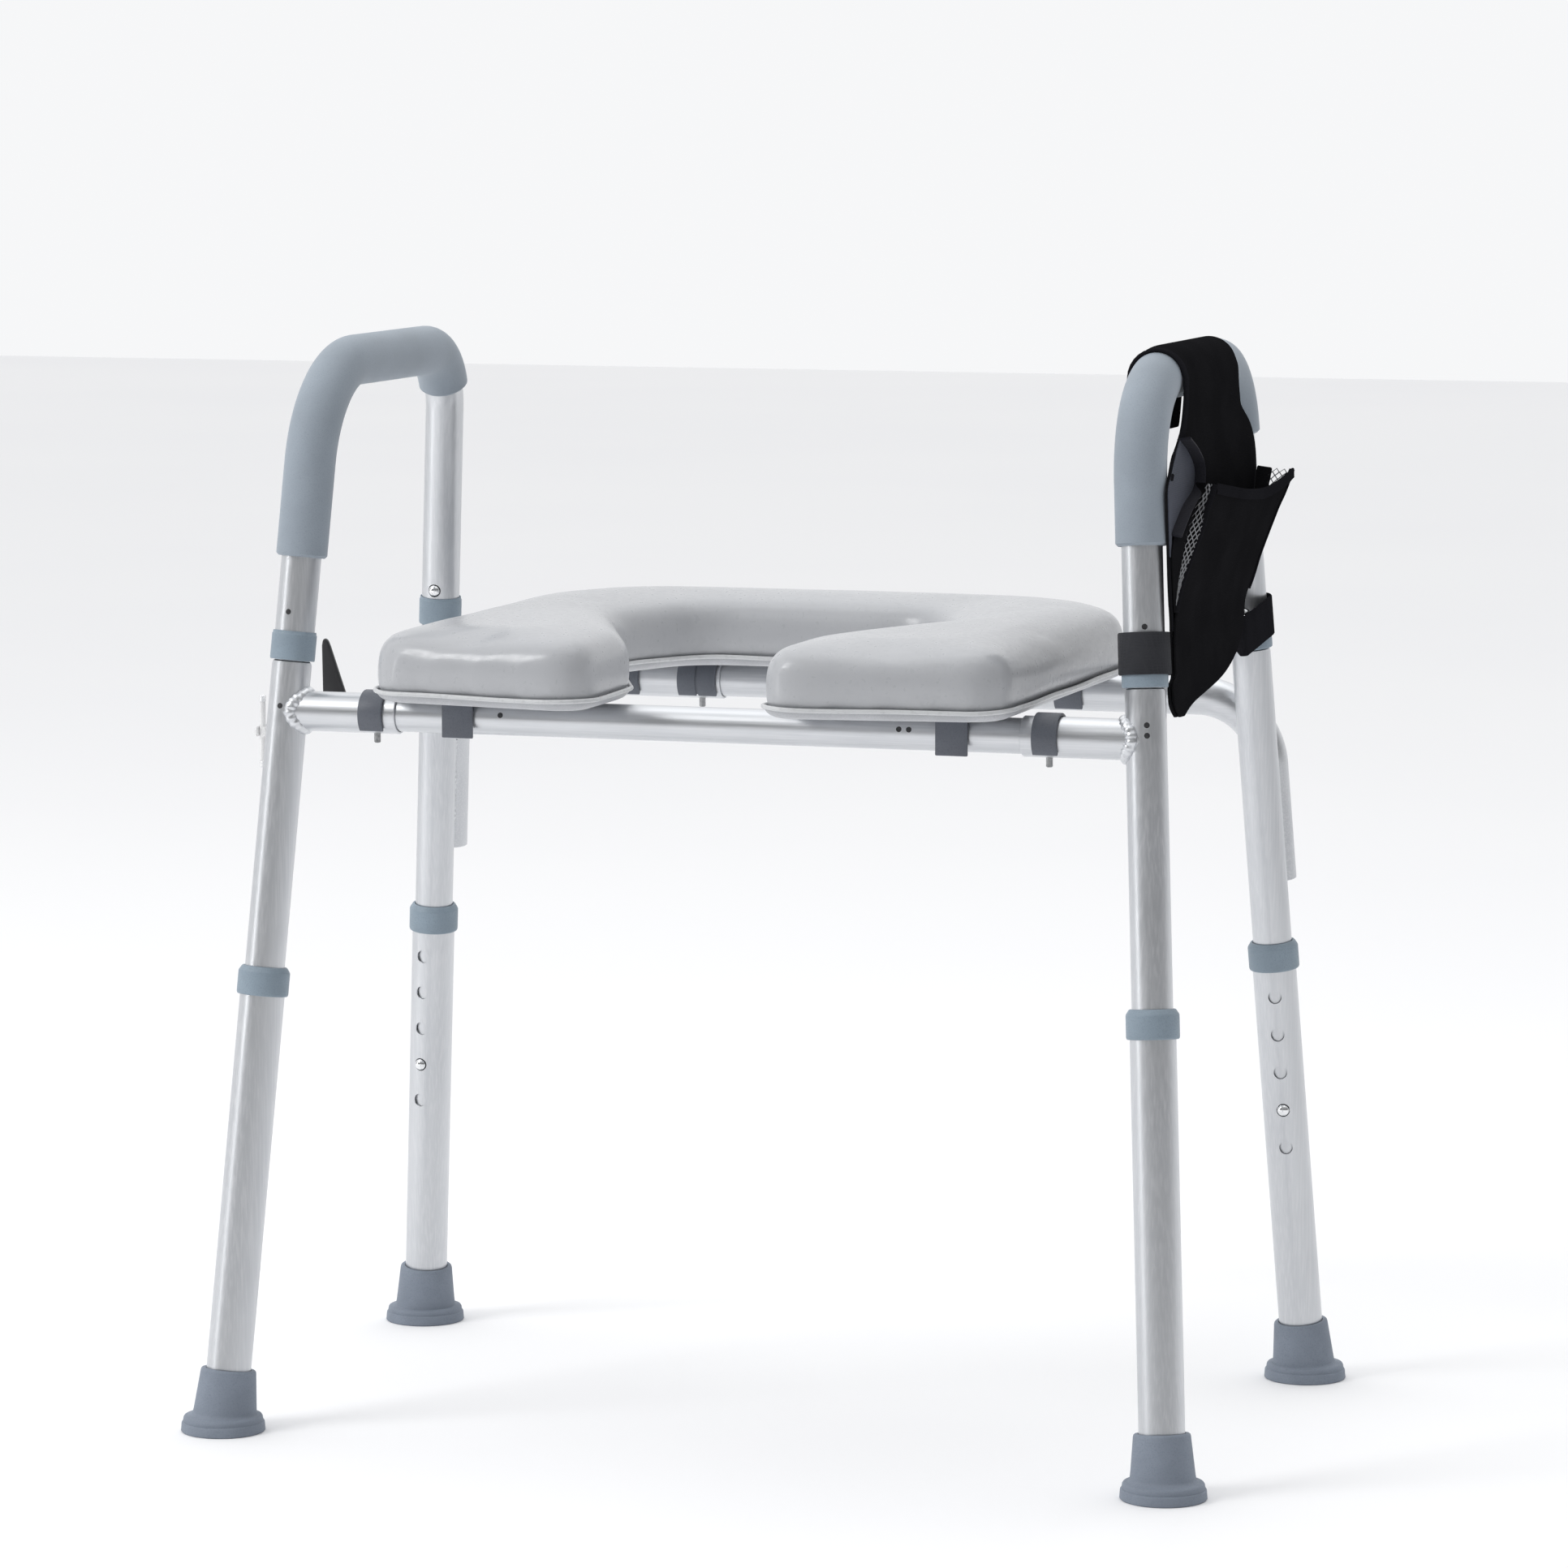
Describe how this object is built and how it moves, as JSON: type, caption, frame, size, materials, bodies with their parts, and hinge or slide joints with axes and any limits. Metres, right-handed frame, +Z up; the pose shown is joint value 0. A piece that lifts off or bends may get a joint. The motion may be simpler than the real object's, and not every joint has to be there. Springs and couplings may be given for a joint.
{
  "type": "raised toilet seat",
  "caption": "Free-standing raised toilet seat: padded open-front seat on an aluminium frame with telescopic legs, arched arm handles, a hanging side bag and a paper roll holder.",
  "frame": {"origin": "on the floor under the middle of the frame: the centre of the object's bounding box in plan, at the underside of the feet", "axes": "+Z up, -Y out of the open front of the seat, +X to the side with the hanging bag, which is the right-hand side when seen from the front with the back behind"},
  "size_m": [0.6847, 0.4206, 0.6962],
  "materials": {
    "aluminium": "satin anodised",
    "grip_foam": "blue-grey closed-cell foam",
    "collar_plastic": "moulded blue-grey plastic",
    "foot_rubber": "blue-grey rubber",
    "clip_plastic": "dark grey moulded plastic",
    "button_steel": "polished",
    "seat_vinyl": "light grey semi-gloss vinyl over foam",
    "seat_board": "light grey moulded board",
    "bag_fabric": "black woven polyester",
    "bag_mesh": "black mesh",
    "holder_black": "black moulded plastic",
    "holder_white": "white moulded plastic"
  },
  "bodies": {
    "frame": {"leg_tube_front_left": "aluminium", "leg_tube_rear_left": "aluminium", "leg_tube_front_right": "aluminium", "leg_tube_rear_right": "aluminium", "upper_collar_front_left": "collar_plastic", "upper_collar_rear_left": "collar_plastic", "upper_collar_front_right": "collar_plastic", "upper_collar_rear_right": "collar_plastic", "handle_tube_left": "aluminium", "handle_tube_right": "aluminium", "handle_grip_left": "grip_foam", "handle_grip_right": "grip_foam", "cross_bar_front": "aluminium", "cross_bar_rear": "aluminium", "lock_clip_front_left": "clip_plastic", "lock_clip_front_right": "clip_plastic", "lock_clip_rear_left": "clip_plastic", "lock_clip_rear_right": "clip_plastic", "bag_back_panel": "bag_fabric", "bag_pocket_panel": "bag_fabric", "bag_gusset_front": "bag_mesh", "bag_gusset_rear": "bag_mesh", "bag_strap_front": "bag_fabric", "bag_strap_rear": "bag_fabric", "holder_bracket": "holder_black", "holder_spindle": "holder_white"},
    "leg_front_left": {"leg_extension_front_left": "aluminium", "lower_collar_front_left": "collar_plastic", "foot_front_left": "foot_rubber"},
    "leg_rear_left": {"leg_extension_rear_left": "aluminium", "lower_collar_rear_left": "collar_plastic", "foot_rear_left": "foot_rubber"},
    "leg_front_right": {"leg_extension_front_right": "aluminium", "lower_collar_front_right": "collar_plastic", "foot_front_right": "foot_rubber"},
    "leg_rear_right": {"leg_extension_rear_right": "aluminium", "lower_collar_rear_right": "collar_plastic", "foot_rear_right": "foot_rubber"},
    "leg_button_front_left": {"leg_button_front_left": "button_steel"},
    "leg_button_rear_left": {"leg_button_rear_left": "button_steel"},
    "leg_button_front_right": {"leg_button_front_right": "button_steel"},
    "leg_button_rear_right": {"leg_button_rear_right": "button_steel"},
    "handle_button_front_left": {"handle_button_front_left": "button_steel"},
    "handle_button_rear_left": {"handle_button_rear_left": "button_steel"},
    "handle_button_front_right": {"handle_button_front_right": "button_steel"},
    "handle_button_rear_right": {"handle_button_rear_right": "button_steel"},
    "seat": {"seat_base": "seat_board", "seat_pad": "seat_vinyl", "seat_clip_front_left": "clip_plastic", "seat_clip_front_right": "clip_plastic", "seat_clip_rear_left": "clip_plastic", "seat_clip_rear_right": "clip_plastic"},
    "toggle": {"holder_toggle": "holder_white"}
  },
  "joints": [
    {"name": "leg_height_front_left", "type": "slide", "parent": "frame", "child": "leg_front_left", "axis": [-0.0595, -0.114, -0.9917], "range_m": [-0.0254, 0.0762], "deforming": ["leg_button_front_left"]},
    {"name": "leg_height_rear_left", "type": "slide", "parent": "frame", "child": "leg_rear_left", "axis": [-0.0626, 0.0875, -0.9942], "range_m": [-0.0254, 0.0762], "deforming": ["leg_button_rear_left"]},
    {"name": "leg_height_front_right", "type": "slide", "parent": "frame", "child": "leg_front_right", "axis": [0.0595, -0.114, -0.9917], "range_m": [-0.0254, 0.0762], "deforming": ["leg_button_front_right"]},
    {"name": "leg_height_rear_right", "type": "slide", "parent": "frame", "child": "leg_rear_right", "axis": [0.0626, 0.0875, -0.9942], "range_m": [-0.0254, 0.0762], "deforming": ["leg_button_rear_right"]},
    {"name": "leg_button_press_front_left", "type": "slide", "parent": "frame", "child": "leg_button_front_left", "axis": [0.1629, -0.9812, 0.1031], "range_m": [0, 0.0035], "stiffness_N_per_m": 1500, "springref_m": -0.002},
    {"name": "leg_button_press_rear_left", "type": "slide", "parent": "frame", "child": "leg_button_rear_left", "axis": [0.1616, 0.9839, 0.0764], "range_m": [0, 0.0035], "stiffness_N_per_m": 1500, "springref_m": -0.002},
    {"name": "leg_button_press_front_right", "type": "slide", "parent": "frame", "child": "leg_button_front_right", "axis": [-0.1629, -0.9812, 0.1031], "range_m": [0, 0.0035], "stiffness_N_per_m": 1500, "springref_m": -0.002},
    {"name": "leg_button_press_rear_right", "type": "slide", "parent": "frame", "child": "leg_button_rear_right", "axis": [-0.1616, 0.9839, 0.0764], "range_m": [0, 0.0035], "stiffness_N_per_m": 1500, "springref_m": -0.002},
    {"name": "handle_button_press_front_left", "type": "slide", "parent": "frame", "child": "handle_button_front_left", "axis": [0.0068, -0.9935, 0.1138], "range_m": [0, 0.0032], "stiffness_N_per_m": 1500, "springref_m": -0.002},
    {"name": "handle_button_press_rear_left", "type": "slide", "parent": "frame", "child": "handle_button_rear_left", "axis": [0.0055, 0.9962, 0.0873], "range_m": [0, 0.0032], "stiffness_N_per_m": 1500, "springref_m": -0.002},
    {"name": "handle_button_press_front_right", "type": "slide", "parent": "frame", "child": "handle_button_front_right", "axis": [-0.0068, -0.9935, 0.1138], "range_m": [0, 0.0032], "stiffness_N_per_m": 1500, "springref_m": -0.002},
    {"name": "handle_button_press_rear_right", "type": "slide", "parent": "frame", "child": "handle_button_rear_right", "axis": [-0.0055, 0.9962, 0.0873], "range_m": [0, 0.0032], "stiffness_N_per_m": 1500, "springref_m": -0.002},
    {"name": "seat_lift", "type": "hinge", "parent": "frame", "child": "seat", "pos_m": [0, 0.1695, 0.4546], "axis": [-1, 0, 0], "range_deg": [0, 90]},
    {"name": "toggle_fold", "type": "hinge", "parent": "frame", "child": "toggle", "pos_m": [-0.336, -0.043, 0.434], "axis": [1, 0, 0], "range_deg": [0, 90]}
  ]
}
